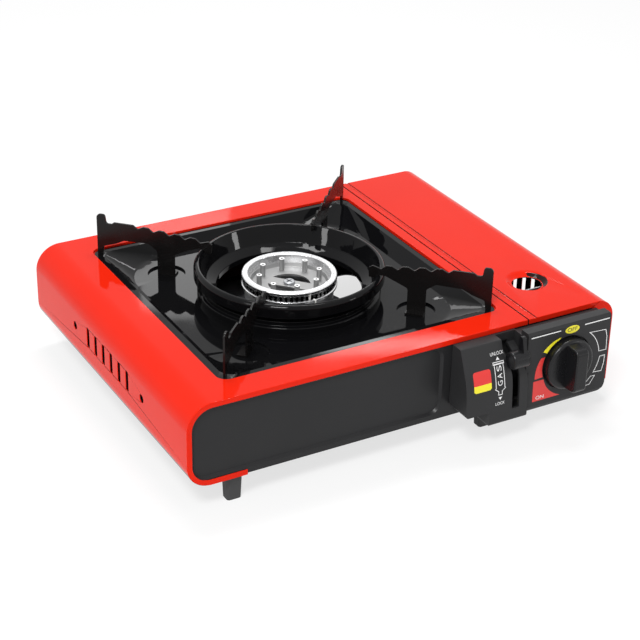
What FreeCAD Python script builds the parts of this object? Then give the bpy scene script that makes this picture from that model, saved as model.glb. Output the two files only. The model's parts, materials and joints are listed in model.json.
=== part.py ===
"""Butane cassette stove, drawn from the shell's front left corner on the floor.

X runs right across the front, Y runs back and Z up, in millimetres. Each piece is moved
so that the origin is the middle of the stove's footprint when it is saved.
"""
import FreeCAD, Part
import math
import os

# Overall sizes of the casing
depth = 264.0
shell_height = 62.0
foot_height = 20.0
sheet = 0.8
seam_gap = 0.6
play = 0.3
side_top_radius = 19.0
side_bottom_radius = 17.0
bottom_return = 27.0
frame_lip = 4.0
seam_flange = 5.0

# Bay for the standard cartridge, under the lid
cartridge_radius = 33.0
bay_play = 2.0
bay_margin = 3.0
bay_rise = 27.0

# Recess in the top, its ledge, and the burner above its middle
recess_border = 22.0
recess_left = 35.4
recess_right = 8.6
recess_corner = 8.0
recess_depth = 2.2
ledge_width = 4.2

# Vents in the body's side wall, longer ones in the lid's, and two round holes in each
vent_count = 6
vent_pitch = 13.7
vent_width = 4.5
vent_height = 15.5
vent_rise = 33.7
vent_shift = 2.6
lid_vent_count = 7
lid_vent_pitch = 11.2
lid_vent_height = 21.0
lid_vent_rise = 26.0
vent_hole_radius = 3.0
vent_hole_reach = 58.4
vent_hole_rise = 32.4

# End panels
panel_sheet = 1.0
field_depth = 2.0
field_bottom = 5.0
housing_panel_gap = 6.0
field_corner = 9.0
panel_end_gap = 1.0
field_gap = 0.5
field_taper = 1.4
bay_panel_step = 0.4
air_slot_count = 9
air_slot_pitch = 20.0
air_slot_width = 14.0
air_slot_height = 3.0
air_slot_rise = 20.0
air_row_pitch = 18.0

# Base plate, its openings and the side flange
base_side_gap = 6.0
base_flange = 12.0
base_flange_inset = 14.0
trough_inset = 4.0
opening_left = 62.0
opening_seam_gap = 10.0
opening_front = 45.0
opening_back_gap = 40.0
base_strip = 46.0
opening_corner = 10.0

# Partition's air slots and the notch for the igniter's lead
partition_slot_count = 5
partition_slot_pitch = 24.0
partition_slot_rise = 15.5
lead_radius = 1.0
lead_rise = 2.5
lead_notch = 2.5

# Feet
foot_width = 12.0
foot_depth = 10.0
foot_taper = 0.8
foot_left_x = 30.5
foot_seam_gap = 20.5
foot_inset = 4.0
foot_corner = 2.5

# Drip pan and its collar
pan_sheet = 0.8
pan_play = 0.8
pan_rim = 5.0
pan_slope = 9.0
pan_drop = 8.6
rim_radius = 69.5
rim_rise = 13.3
rim_width = 4.0
rim_drop = 9.3
rim_round = 3.2
bed_corner = 42.0
neck_radius = 61.5
band_radius = 64.5
band_drop = 14.8
skirt_radius = 67.0
skirt_height = 4.5
bowl_radius = 60.5
bowl_rise = 6.5
bowl_edge = 3.8
throat_radius = 53.0
throat_drop = 4.0
dimple_radius = 14.0
dimple_depth = 1.6
dimple_inset = 60.6

# Pan supports, along a line from the burner's middle to the recess's corner
support_sheet = 1.4
support_corner_gap = 6.6
support_inner = 59.0
spike_rise = 31.0
spike_width = 7.5
ridge_rise = 25.4
tooth_count = 5
tooth_depth = 2.7
last_tooth = 9.2
crest_inset = 32.0
crest_slope = 0.085
leg_width = 13.5
tab_depth = 7.0
arch_rise = 12.3

# Burner
ring_radius = 35.0
ring_inner = 30.0
ring_rise = 5.6
ring_cap = 3.0
ring_band = 4.6
ring_lip = 1.6
slot_count = 56
slot_width = 2.2
slot_height = 3.6
cup_radius = 32.5
cup_foot_radius = 24.0
cup_wall = 1.5
cup_height = 18.0
deck_drop = 10.5
deck_sheet = 1.2
deck_rim = 4.0
post_count = 8
post_circle = 22.5
post_turn = 31.0
post_radius = 1.9
post_bore = 1.0
post_height = 9.5
window_radius = 15.5
window_turn = -48.0
bridge_width = 11.0
thread_depth = 8.0
screw_head_radius = 4.2
screw_head_height = 2.2
seat_radius = 50.0
seat_rise = 30.0
seat_sheet = 1.2
seat_leg_width = 30.0
seat_toe = 9.0
stem_radius = 12.0
electrode_gap = 4.5
electrode_radius = 2.2
electrode_length = 15.0
tip_radius = 0.6

# Gas path
tube_rise = 40.0
tube_radius = 8.0
tube_wall = 1.0
tube_start = 34.0
air_hole_radius = 4.0
air_hole_back = 18.0
jet_radius = 3.5
jet_length = 8.0
jet_bore = 0.3
jet_reach = 3.0
outlet_radius = 6.0
outlet_length = 22.0
outlet_left = 26.0
outlet_y = 30.0
outlet_back = 8.7
fit_play = 0.05

# Regulator, in front of the bay and on the cartridge's axis
regulator_radius = 20.0
regulator_front = 16.0
regulator_length = 24.0
cover_radius = 11.5
cover_height = 3.0
collar_radius = 17.0
collar_length = 6.0
socket_radius = 8.0
socket_depth = 5.0
seal_bore = 5.0
seal_length = 3.0
guide_sheet = 1.2
tongue_width = 6.0
tongue_length = 7.0
tongue_rise = 15.0
bay_side_gap = 9.0
bracket_top = 27.0
bracket_sheet = 1.2

# Knob, spindle and ignition cam
knob_left = 15.0
knob_rise = 31.5
knob_radius = 19.5
knob_base = 6.0
knob_reach = 36.0
grip_width = 10.0
grip_length = 35.0
spindle_radius = 3.0
spindle_bore = 10.0
spindle_reach = 10.0
cam_thickness = 5.0
cam_base_radius = 6.0
cam_start_radius = 9.0
cam_lift = 4.0
knob_turn = 135.0
cam_margin = 15.0
plunger_radius = 2.0
plunger_travel = 4.5
plunger_bore = 14.0
igniter_length = 27.0
igniter_size = 10.0

# Control housing
housing_width = 122.5
housing_side_gap = 16.5
housing_dial_width = 71.5
housing_wall = 2.0
housing_bottom = 1.5
housing_step_width = 19.0
housing_step_rise = 10.0
housing_face = 18.0
housing_belly = 23.0
housing_top_gap = 0.4
housing_ledge = 9.0
housing_ledge_drop = 4.0
lever_part_gap = 3.6
boss_radius = 3.5
boss_bore = 1.3
dial_radius = 20.7
dial_depth = 2.6

# Cartridge lever: bell crank on a pin across the front
lever_y = 14.0
lever_rise = 16.4
lever_left = 9.8
lever_up = 41.0
lever_swing = 46.0
lever_length = 45.0
lever_sheet = 2.4
lever_width = 7.0
slot_play = 1.8
panel_slot_low = 6.0
panel_slot_high = 18.0
hub_radius = 6.0
hub_half_length = 6.0
crank_length = 11.5
crank_pin_radius = 2.0
lever_pin_radius = 2.0
handle_radius = 6.5
handle_to_left = 6.2
handle_to_right = 7.3
groove_play = 1.5
fin_height = 10.0
cheek_sheet = 1.5

# Carriage that draws the cartridge forward
bar_seam_gap = 8.0
bar_sheet = 2.0
bar_low = 50.0
bar_high = 56.5
bar_slot_play = 1.2
pusher_gap = 28.0
pusher_sheet = 1.6
pusher_past = 4.0
stud_radius = 1.5
stud_front = 60.0
stud_back_gap = 54.0

# Lid and hinge
lid_corner = 15.0
lid_drop = 5.7
lid_side_lip = 20.0
dish_left = 2.7
dish_y = 51.2
dish_radius = 16.5
dish_hole = 11.0
dish_depth = 3.0
lid_groove_gap = 4.5
lid_groove_width = 2.2
lid_groove_depth = 0.4
hinge_inset = 3.2
hinge_drop = 3.0
hinge_pin_radius = 1.3
knuckle_radius = 2.1
knuckle_count = 7
hinge_end_gap = 20.0

# Fasteners
screw_radius = 1.25
head_radius = 3.0
head_height = 1.6

# Places worked out from the sizes above
shell_top = foot_height + shell_height
inner_top = shell_top - sheet
trough_radius = cartridge_radius + bay_play
lid_width = 2 * (trough_radius + bay_margin)
recess_size = depth - 2 * recess_border
burner_x = recess_left + recess_size / 2
burner_y = depth / 2
seam_x = recess_left + recess_size + recess_right
width = seam_x + lid_width
bay_x = seam_x + lid_width / 2
knob_x = bay_x - knob_left
outlet_x = bay_x - outlet_left
housing_right = width - housing_side_gap
housing_left = housing_right - housing_width
housing_split = housing_right - housing_dial_width
housing_step = housing_left + housing_step_width
lever_x = housing_split - lever_left
handle_left = lever_x - handle_to_left
handle_right = lever_x + handle_to_right
groove_left = handle_left - groove_play
groove_right = handle_right + groove_play
bar_x = seam_x - bar_seam_gap
bar_end = depth - pusher_gap + 2
pusher_y = depth - pusher_gap
pusher_right = bay_x + pusher_past
stud_places = (stud_front, (stud_front + depth - stud_back_gap) / 2, depth - stud_back_gap)
vent_y = depth / 2 - vent_shift
opening_right = seam_x - opening_seam_gap
opening_back = depth - opening_back_gap
foot_right_x = seam_x - foot_seam_gap - foot_width
dimple_reach = recess_size * math.sqrt(0.5) - dimple_inset
support_reach = recess_size * math.sqrt(0.5) - support_corner_gap
crest_start = support_reach - crest_inset
tooth_pitch = (crest_start - support_inner - last_tooth) / (tooth_count - 1)
leg_outer = dimple_reach + leg_width / 2
dish_x = bay_x - dish_left
hinge_start = hinge_end_gap
hinge_end = depth - hinge_end_gap
pan_floor = shell_top - recess_depth + pan_sheet - pan_drop
rim_top = shell_top + rim_rise
ring_top = shell_top + ring_rise
base_low = foot_height + sheet
base_high = base_low + sheet
bay_z = foot_height + bay_rise
knob_z = foot_height + knob_rise
lever_z = foot_height + lever_rise
tube_z = foot_height + tube_rise
seat_top = foot_height + seat_rise
panel_face = sheet
panel_back = panel_face + panel_sheet
bay_panel_face = panel_face + bay_panel_step
bay_panel_back = bay_panel_face + panel_sheet
regulator_back = regulator_front + regulator_length
guide_y = regulator_back + collar_length
hinge_x = width - hinge_inset
hinge_z = foot_height - hinge_drop
crank_lean = lever_swing / 2
crank_behind = crank_length * math.sin(math.radians(crank_lean))
carriage_travel = 2 * crank_behind
handle_y = lever_y - lever_length * math.cos(math.radians(lever_up))
handle_z = lever_z + lever_length * math.sin(math.radians(lever_up))
partition_right = seam_x - sheet
partition_left = partition_right - sheet
seam_low = shell_top - seam_flange - play
ring_low = ring_top - ring_cap - ring_band - ring_lip
deck_z = ring_top - deck_drop
igniter_y = regulator_front - bracket_sheet - igniter_size / 2
igniter_x = knob_x + cam_start_radius + plunger_travel + 1.8
electrode_y = burner_y - ring_radius - electrode_gap
lead_z = base_low + lead_rise
bar_z = foot_height + (bar_low + bar_high) / 2
outlet_start = math.hypot(outlet_x - burner_x, outlet_y - burner_y) - outlet_back
tube_end = outlet_start - jet_length + jet_reach


def vector(x, y, z):
    return FreeCAD.Vector(x, y, z)


def box(x0, x1, y0, y1, z0, z1):
    return Part.makeBox(x1 - x0, y1 - y0, z1 - z0, vector(x0, y0, z0))


def rod_x(y, z, radius, x0, x1):
    return Part.makeCylinder(radius, x1 - x0, vector(x0, y, z), vector(1, 0, 0))


def rod_y(x, z, radius, y0, y1):
    return Part.makeCylinder(radius, y1 - y0, vector(x, y0, z), vector(0, 1, 0))


def rod_z(x, y, radius, z0, z1):
    return Part.makeCylinder(radius, z1 - z0, vector(x, y, z0))


def joined(shapes):
    """One solid from shapes that share faces or overlap."""
    whole = shapes[0]
    for shape in shapes[1:]:
        whole = whole.fuse(shape)
    return whole.removeSplitter()


def rounded_wire(corners, place):
    """Closed wire through corners (u, v, radius), with place turning (u, v) into a point."""
    starts = []
    middles = []
    ends = []
    count = len(corners)
    for i in range(count):
        u, v, radius = corners[i]
        here = vector(u, v, 0)
        before = vector(corners[i - 1][0], corners[i - 1][1], 0)
        after = vector(corners[(i + 1) % count][0], corners[(i + 1) % count][1], 0)
        back = (before - here).normalize()
        ahead = (after - here).normalize()
        half = back.getAngle(ahead) / 2
        reach = radius / math.tan(half) if radius else 0.0
        starts.append(here + back * reach)
        ends.append(here + ahead * reach)
        across = (back + ahead).normalize() if radius else vector(0, 0, 0)
        middles.append(here + across * (radius / math.sin(half) - radius))
    edges = []
    for i in range(count):
        start = place(starts[i].x, starts[i].y)
        end = place(ends[i].x, ends[i].y)
        following = place(starts[(i + 1) % count].x, starts[(i + 1) % count].y)
        if corners[i][2]:
            edges.append(Part.Arc(start, place(middles[i].x, middles[i].y), end).toShape())
        if end.distanceToPoint(following) > 1e-6:
            edges.append(Part.makeLine(end, following))
    return Part.Wire(edges)


def slab_xz(corners, y0, y1):
    """Outline in the XZ plane, given depth from y0 to y1."""
    wire = rounded_wire(corners, lambda u, v: vector(u, y0, v))
    return Part.Face(wire).extrude(vector(0, y1 - y0, 0))


def slab_yz(corners, x0, x1):
    """Outline in the YZ plane, given width from x0 to x1."""
    wire = rounded_wire(corners, lambda u, v: vector(x0, u, v))
    return Part.Face(wire).extrude(vector(x1 - x0, 0, 0))


def slab_xy(corners, z0, z1):
    """Outline in the XY plane, given height from z0 to z1."""
    wire = rounded_wire(corners, lambda u, v: vector(u, v, z0))
    return Part.Face(wire).extrude(vector(0, 0, z1 - z0))


def rectangle(u0, u1, v0, v1, radius):
    return [(u0, v0, radius), (u1, v0, radius), (u1, v1, radius), (u0, v1, radius)]


def burner_square(half, radius):
    """Corners of a rounded square about the burner's middle."""
    return rectangle(burner_x - half, burner_x + half, burner_y - half, burner_y + half, radius)


def frustum(low_corners, low_z, high_corners, high_z):
    """Solid between two level outlines with as many corners."""
    low = rounded_wire(low_corners, lambda u, v: vector(u, v, low_z))
    high = rounded_wire(high_corners, lambda u, v: vector(u, v, high_z))
    return Part.makeLoft([low, high], True, True)


def turned(corners, x, y):
    """Solid of revolution about a vertical line, from corners (radius, height, rounding)."""
    wire = rounded_wire(corners, lambda u, v: vector(x + u, y, v))
    return Part.Face(wire).revolve(vector(x, y, 0), vector(0, 0, 1), 360)


def bent_tube(points, bends, radius):
    """Round rod along straight runs joined by arcs of the given bend radii."""
    edges = []
    here = points[0]
    for i in range(1, len(points) - 1):
        back = (points[i - 1] - points[i]).normalize()
        ahead = (points[i + 1] - points[i]).normalize()
        half = back.getAngle(ahead) / 2
        bend = bends[i - 1]
        reach = bend / math.tan(half)
        start = points[i] + back * reach
        end = points[i] + ahead * reach
        across = (back + ahead).normalize()
        middle = points[i] + across * (bend / math.sin(half) - bend)
        edges.append(Part.makeLine(here, start))
        edges.append(Part.Arc(start, middle, end).toShape())
        here = end
    edges.append(Part.makeLine(here, points[-1]))
    path = Part.Wire(edges)
    circle = Part.makeCircle(radius, points[0], points[1] - points[0])
    return path.makePipeShell([Part.Wire([circle])], True, False)


def save(name, shape):
    """Writes one piece, moved so that the origin is the middle of the footprint."""
    placed = shape.copy()
    placed.translate(vector(-width / 2, -(depth - knob_reach) / 2, 0))
    placed.exportStep("parts/" + name + ".step")


def shell_corners(inset):
    """The body's cross-section, seen from the front, inset all round but at the seam."""
    low = foot_height + inset
    high = shell_top - inset
    top_radius = max(side_top_radius - inset, 1.0)
    low_radius = max(side_bottom_radius - inset, 1.0)
    return [(inset, low, low_radius), (seam_x, low, 0), (seam_x, high, 0), (inset, high, top_radius)]


def lid_corners(inset, side_inset):
    """The lid's cross-section, seen from the front; its left and lower sides are open."""
    left = seam_x + seam_gap
    low = foot_height - lid_drop
    high = shell_top - inset
    radius = max(lid_corner - max(inset, side_inset), 1.0)
    return [(left, low, 0), (width - side_inset, low, 0), (width - side_inset, high, radius), (left, high, 0)]


def side_vents(x0, x1, count, pitch, height, rise):
    """Cutters for a row of upright slots and two round holes in a side wall."""
    cutters = []
    first = vent_y - pitch * (count - 1) / 2
    half = vent_width / 2
    low = foot_height + rise - height / 2
    for i in range(count):
        y = first + pitch * i
        corners = rectangle(y - half, y + half, low, low + height, vent_width * 0.3)
        cutters.append(slab_yz(corners, x0, x1))
    for side in (-1, 1):
        y = vent_y + side * vent_hole_reach
        cutters.append(rod_x(y, foot_height + vent_hole_rise, vent_hole_radius, x0, x1))
    return cutters


def body_shell():
    """Side and top in one sheet, with lips round the ends, the recess and a flange at the seam."""
    shell = slab_xz(shell_corners(0), 0, depth)
    hollow = slab_xz(shell_corners(sheet), sheet, depth - sheet)
    shell = shell.cut(hollow)
    mouth = slab_xz(shell_corners(frame_lip), -1, depth + 1)
    shell = shell.cut(mouth)
    return_end = side_bottom_radius + bottom_return
    under = box(return_end, seam_x + 1, -1, depth + 1, foot_height - 1, base_low + frame_lip)
    shell = shell.cut(under)
    flange = box(seam_x - sheet, seam_x, sheet, depth - sheet, shell_top - seam_flange, inner_top)
    shell = shell.fuse(flange)
    half = recess_size / 2
    ledge_z = shell_top - recess_depth
    drawn = slab_xy(burner_square(half + sheet, recess_corner + sheet), ledge_z - sheet, inner_top)
    shell = shell.fuse(drawn)
    shell = shell.cut(slab_xy(burner_square(half, recess_corner), ledge_z, shell_top + 1))
    hole = slab_xy(burner_square(half - ledge_width, recess_corner), ledge_z - 2 * sheet, shell_top)
    shell = shell.cut(hole)
    for cutter in side_vents(-1, sheet + 1, vent_count, vent_pitch, vent_height, vent_rise):
        shell = shell.cut(cutter)
    return shell.removeSplitter()


def end_panel(with_field):
    """Sheet that closes the front; the back one is the same without the sunk field."""
    left = slab_xz(shell_corners(sheet), panel_face, panel_back)
    left = left.cut(box(partition_left, seam_x + 1, panel_face - 1, panel_back + 1, seam_low, shell_top))
    right_end = width - lid_side_lip - panel_end_gap
    top = inner_top - play
    step = seam_x + seam_gap + play
    right = slab_xz(rectangle(step - 1, right_end, base_low, top, 0), bay_panel_face, bay_panel_back)
    right = right.cut(box(step - 2, step, 0, bay_panel_back + 1, seam_low, shell_top))
    tie = box(partition_left, step, bay_panel_face, panel_back, base_low, seam_low)
    panel = joined([left, right, tie])
    if with_field:
        low = foot_height + field_bottom
        high = shell_top - frame_lip - field_gap
        field_left = frame_lip + field_gap
        field_right = housing_left - housing_panel_gap
        front = [
            (field_left, low, field_corner),
            (field_right, low, field_corner),
            (field_right, high, field_corner),
            (field_left, high, side_top_radius - frame_lip),
        ]
        inset = field_taper
        back = [
            (field_left + inset, low + inset, field_corner - inset),
            (field_right - inset, low + inset, field_corner - inset),
            (field_right - inset, high - inset, field_corner - inset),
            (field_left + inset, high - inset, side_top_radius - frame_lip - inset),
        ]
        front_wire = rounded_wire(front, lambda u, v: vector(u, panel_face, v))
        back_wire = rounded_wire(back, lambda u, v: vector(u, panel_face + field_depth, v))
        tray = slab_xz(front, panel_back, panel_back + field_depth)
        panel = panel.fuse(tray)
        panel = panel.cut(Part.makeLoft([front_wire, back_wire], True, True))
    return panel


def housing_screw_places():
    """Middles of the screws that hold the control housing, as (x, z)."""
    places = []
    for x in (housing_left + 12, housing_right - 12):
        for z in (foot_height + 16, foot_height + 50):
            places.append((x, z))
    return places


def front_panel():
    panel = end_panel(True)
    panel = panel.cut(rod_y(knob_x, knob_z, cam_start_radius, 0, 6))
    half_slot = lever_sheet / 2 + slot_play
    slot_low = lever_z - panel_slot_low
    slot_high = lever_z + panel_slot_high
    panel = panel.cut(box(lever_x - half_slot, lever_x + half_slot, 0, 6, slot_low, slot_high))
    for x, z in housing_screw_places():
        panel = panel.cut(rod_y(x, z, screw_radius + play, 0, 6))
    return panel.removeSplitter()


def air_slot(middle, low):
    """Corners of one level air slot, from its middle and its lower edge."""
    half = air_slot_width / 2
    return rectangle(middle - half, middle + half, low, low + air_slot_height, air_slot_height * 0.45)


def back_panel():
    """The front panel's plain twin, turned to face back, with two rows of air slots."""
    panel = end_panel(False)
    panel = panel.mirror(vector(0, depth / 2, 0), vector(0, 1, 0))
    first = burner_x - air_slot_pitch * (air_slot_count - 1) / 2
    for row in range(2):
        low = foot_height + air_slot_rise + air_row_pitch * row
        for i in range(air_slot_count):
            corners = air_slot(first + air_slot_pitch * i, low)
            panel = panel.cut(slab_xz(corners, depth - 5, depth + 1))
    return panel


def base_plate():
    """Bottom sheet with two air openings, the trough under the cartridge and a side flange."""
    left = side_bottom_radius + 1
    right = width - base_side_gap
    front = bay_panel_back
    back = depth - bay_panel_back
    plate = box(left, right, front, back, base_low, base_high)
    flange_front = front + base_flange_inset
    flange_back = back - base_flange_inset
    flange = box(right - sheet, right, flange_front, flange_back, base_low, base_low + base_flange)
    middle_low = burner_y - base_strip / 2
    middle_high = burner_y + base_strip / 2
    corners = rectangle(opening_left, opening_right, opening_front, middle_low, opening_corner)
    plate = plate.cut(slab_xy(corners, base_low - 1, base_high + 1))
    corners = rectangle(opening_left, opening_right, middle_high, opening_back, opening_corner)
    plate = plate.cut(slab_xy(corners, base_low - 1, base_high + 1))
    trough_front = front + trough_inset
    trough_back = back - trough_inset
    outer = rod_y(bay_x, bay_z, trough_radius + sheet, trough_front, trough_back)
    outer = outer.common(box(seam_x, width, front, back, 0, base_high))
    inner = rod_y(bay_x, bay_z, trough_radius, trough_front + sheet, trough_back - sheet)
    plate = joined([plate, outer, flange])
    return plate.cut(inner).removeSplitter()


def bay_partition():
    """Heat shield between the burner room and the bay."""
    plate = box(partition_left, partition_right, bay_panel_back, depth - bay_panel_back, base_high, inner_top)
    plate = plate.cut(tube_rod(tube_radius + 2, tube_start, tube_end + 20))
    notch_front = igniter_y - lead_notch
    notch_back = igniter_y + lead_notch
    plate = plate.cut(box(partition_left - 1, seam_x, notch_front, notch_back, 0, lead_z + lead_notch))
    slot_low = foot_height + bar_low - bar_slot_play
    slot_high = foot_height + bar_high + bar_slot_play
    slot_front = pusher_y - carriage_travel - bar_slot_play
    slot_back = pusher_y + pusher_sheet + bar_slot_play
    plate = plate.cut(box(partition_left - 1, seam_x, slot_front, slot_back, slot_low, slot_high))
    first = vent_y - partition_slot_pitch * (partition_slot_count - 1) / 2
    low = foot_height + partition_slot_rise - air_slot_height / 2
    for i in range(partition_slot_count):
        corners = air_slot(first + partition_slot_pitch * i, low)
        plate = plate.cut(slab_yz(corners, partition_left - 1, seam_x))
    for y in stud_places:
        plate = plate.cut(rod_x(y, bar_z, stud_radius, partition_left - 1, seam_x))
    return plate


def foot(x, y):
    """Rubber foot, slightly narrower at the floor, under the base or the shell's return."""
    right = x + foot_width
    back = y + foot_depth
    top = rectangle(x, right, y, back, foot_corner)
    inset = foot_taper
    low = rectangle(x + inset, right - inset, y + inset, back - inset, foot_corner - 0.5)
    return frustum(low, 0, top, foot_height)


def right_foot(x, y):
    """A foot that reaches the base plate's underside, beyond the shell's return."""
    pad = slab_xy(rectangle(x, x + foot_width, y, y + foot_depth, foot_corner), foot_height, base_low)
    return joined([foot(x, y), pad])


def drip_pan():
    """Enamelled square tray that lies on the ledge, with a raised collar round the burner."""
    half = recess_size / 2 - pan_play
    low = shell_top - recess_depth
    high = low + pan_sheet
    floor_low = pan_floor - pan_sheet
    corner = recess_corner - pan_play
    mouth = half - pan_rim
    bed = mouth - pan_slope
    mouth_corner = corner + 2
    brim = slab_xy(burner_square(half, corner), low, high)
    outer_bed = burner_square(bed + pan_sheet, bed_corner)
    outer_mouth = burner_square(mouth + pan_sheet, mouth_corner)
    outer = frustum(outer_bed, floor_low, outer_mouth, low)
    inner = frustum(burner_square(bed, bed_corner), pan_floor, burner_square(mouth, mouth_corner), high)
    pan = brim.fuse(outer).cut(inner)
    pan = pan.cut(rod_z(burner_x, burner_y, skirt_radius, floor_low - 1, pan_floor + 1))
    for i in range(4):
        angle = math.radians(45 + 90 * i)
        x = burner_x + dimple_reach * math.cos(angle)
        y = burner_y + dimple_reach * math.sin(angle)
        pan = pan.fuse(rod_z(x, y, dimple_radius + pan_sheet, floor_low - dimple_depth, pan_floor))
        pan = pan.cut(rod_z(x, y, dimple_radius, pan_floor - dimple_depth, pan_floor + 1))
    return joined([pan, collar()])


def collar():
    """Turned outline of the collar: a stepped wall outside, a turned-down rim and a bowl inside."""
    wall = pan_sheet
    rim_low = rim_top - rim_drop
    band_top = rim_top - band_drop
    skirt_top = pan_floor + skirt_height
    bowl_z = pan_floor + bowl_rise
    throat_low = bowl_z - throat_drop
    inside = rim_radius - rim_width
    under = rim_top - wall
    corners = [
        (skirt_radius, pan_floor - wall, 0),
        (skirt_radius, skirt_top, 1.2),
        (band_radius, skirt_top + 1.0, 0.4),
        (band_radius, band_top, 1.0),
        (neck_radius, band_top + 1.0, 0.5),
        (inside + 1.0, under, 0.5),
        (rim_radius - wall, under, rim_round / 2),
        (rim_radius - wall, rim_low, 0),
        (rim_radius, rim_low, 0),
        (rim_radius, rim_top, rim_round),
        (inside, rim_top, 0.6),
        (bowl_radius, bowl_z + bowl_edge, 1.5),
        (throat_radius, bowl_z, 0.8),
        (throat_radius, throat_low, 0),
        (throat_radius + wall, throat_low, 0),
        (throat_radius + wall, bowl_z - wall, 0.4),
        (bowl_radius, bowl_z + bowl_edge - 1.2, 0.5),
        (band_radius - wall, band_top - 1.2, 0.5),
        (band_radius - wall, skirt_top + 0.4, 0.3),
        (skirt_radius - wall, skirt_top - wall, 0.3),
        (skirt_radius - wall, pan_floor - wall, 0),
    ]
    return turned(corners, burner_x, burner_y)


def crest(distance):
    """Height of the tooth tops at a distance from the burner's middle."""
    return shell_top + ridge_rise - crest_slope * (crest_start - distance)


def support_corners():
    """Outline of a pan support as (distance from the burner, height, rounding)."""
    foot = shell_top - recess_depth + pan_sheet
    spike_top = shell_top + spike_rise
    spike_inner = support_reach - spike_width
    valley = shell_top + ridge_rise - 1.5
    arch = shell_top + arch_rise
    leg_inner = leg_outer - leg_width
    tab_z = pan_floor - dimple_depth
    rim_clear = rim_top + play
    corners = [
        (support_reach - 4, foot, 0),
        (support_reach, foot, 0),
        (support_reach, spike_top, 3.0),
        (spike_inner + 1, spike_top, 2.0),
        (spike_inner, valley, 2.0),
        (spike_inner - 4, valley, 1.0),
        (spike_inner - 6, shell_top + ridge_rise, 1.0),
        (crest_start + 3.5, shell_top + ridge_rise, 1.0),
    ]
    for i in range(tooth_count):
        valley_at = crest_start - tooth_pitch * i
        corners.append((valley_at, crest(valley_at) - tooth_depth, 1.2))
        if i < tooth_count - 1:
            for share in (0.37, 0.7):
                top_at = valley_at - share * tooth_pitch
                corners.append((top_at, crest(top_at), 1.2))
    corners += [
        (support_inner + 3, crest(support_inner), 0.8),
        (support_inner, crest(support_inner) - 2, 0.5),
        (support_inner + 0.5, rim_top - 2, 0.6),
        (support_inner + 5, rim_top - 2, 0.6),
        (support_inner + 6, rim_clear, 0.5),
        (rim_radius + 2, rim_clear, 2.0),
        (leg_inner, arch - 6, 3.0),
        (leg_inner, tab_z, 0),
        (leg_outer, tab_z, 0),
        (leg_outer, arch - 5, 3.0),
        (leg_outer + 7, arch, 2.0),
        (leg_outer + 26, arch - 0.5, 2.0),
        (leg_outer + 33, arch - 4, 2.0),
        (support_reach - 5, arch - 7, 1.5),
    ]
    return corners


def support(turn):
    """One pan support, turned about the burner to its corner."""
    half = support_sheet / 2
    plate = slab_xz(support_corners(), -half, half)
    tab_z = pan_floor - dimple_depth
    tab = box(leg_outer - leg_width, leg_outer, -tab_depth, half, tab_z, tab_z + support_sheet)
    arm = joined([plate, tab])
    arm.rotate(vector(0, 0, 0), vector(0, 0, 1), turn)
    arm.translate(vector(burner_x, burner_y, 0))
    return arm


def burner_ring():
    """Top ring with its row of flame slots and the lip below them."""
    band_low = ring_low + ring_lip
    corners = [
        (ring_inner, ring_low, 0),
        (ring_radius, ring_low, 0.4),
        (ring_radius, band_low, 0.4),
        (ring_radius - 0.8, band_low + 0.4, 0),
        (ring_radius - 0.8, ring_top - ring_cap, 0),
        (ring_radius, ring_top - ring_cap + 0.4, 0.3),
        (ring_radius, ring_top, 1.4),
        (ring_inner, ring_top, 0.8),
    ]
    ring = turned(corners, burner_x, burner_y)
    slot_low = band_low + (ring_band - slot_height) / 2
    half = slot_width / 2
    cutter = box(ring_inner + 2, ring_radius + 1, -half, half, slot_low, slot_low + slot_height)
    slots = []
    for i in range(slot_count):
        slot = cutter.copy()
        slot.rotate(vector(0, 0, 0), vector(0, 0, 1), 360.0 * i / slot_count)
        slot.translate(vector(burner_x, burner_y, 0))
        slots.append(slot)
    return ring.cut(Part.makeCompound(slots))


def burner_body():
    """Cast cup under the ring, on its stem, with a neck for the mixing tube."""
    top = ring_low
    low = top - cup_height
    corners = [
        (0, low, 0),
        (cup_foot_radius, low, 2.0),
        (cup_radius, low + 8, 3.0),
        (cup_radius, top, 0),
        (cup_radius - cup_wall - 1, top, 0),
        (cup_radius - cup_wall - 1, low + 9, 2.0),
        (cup_foot_radius - cup_wall, low + cup_wall + 1, 2.0),
        (0, low + cup_wall + 1, 0),
    ]
    cup = turned(corners, burner_x, burner_y)
    stem = rod_z(burner_x, burner_y, stem_radius, seat_top, low + 1)
    neck = tube_rod(tube_radius - tube_wall - fit_play, 0, tube_start + 12)
    return joined([cup, stem, neck])


def burner_deck():
    """Dished plate inside the ring with hollow posts and two openings beside the bridge."""
    level = deck_z
    rim = ring_inner - fit_play
    corners = [
        (0, level, 0),
        (rim, level, 0),
        (rim, level + deck_rim, 0),
        (rim - 1.5, level + deck_rim, 0),
        (rim - 2.5, level + deck_sheet, 0.6),
        (0, level + deck_sheet, 0),
    ]
    deck = turned(corners, burner_x, burner_y)
    surface = level + deck_sheet
    post_top = surface + post_height
    for i in range(post_count):
        angle = math.radians(post_turn + 360.0 * i / post_count)
        x = burner_x + post_circle * math.cos(angle)
        y = burner_y + post_circle * math.sin(angle)
        deck = deck.fuse(rod_z(x, y, post_radius, surface, post_top))
        deck = deck.cut(rod_z(x, y, post_bore, level - 1, post_top + 1))
    window = rod_z(burner_x, burner_y, window_radius, level - 1, surface + 1)
    strip = burner_strip(bridge_width / 2, level - 1, surface + 1)
    deck = deck.cut(rod_z(burner_x, burner_y, screw_radius, level - 1, surface + 1))
    return deck.cut(window.cut(strip)).removeSplitter()


def burner_strip(half, z0, z1):
    """Straight strip across the burner's cup, turned as the bridge is."""
    reach = cup_radius - 1
    strip = box(burner_x - reach, burner_x + reach, burner_y - half, burner_y + half, z0, z1)
    strip.rotate(vector(burner_x, burner_y, 0), vector(0, 0, 1), window_turn)
    return strip


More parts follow.
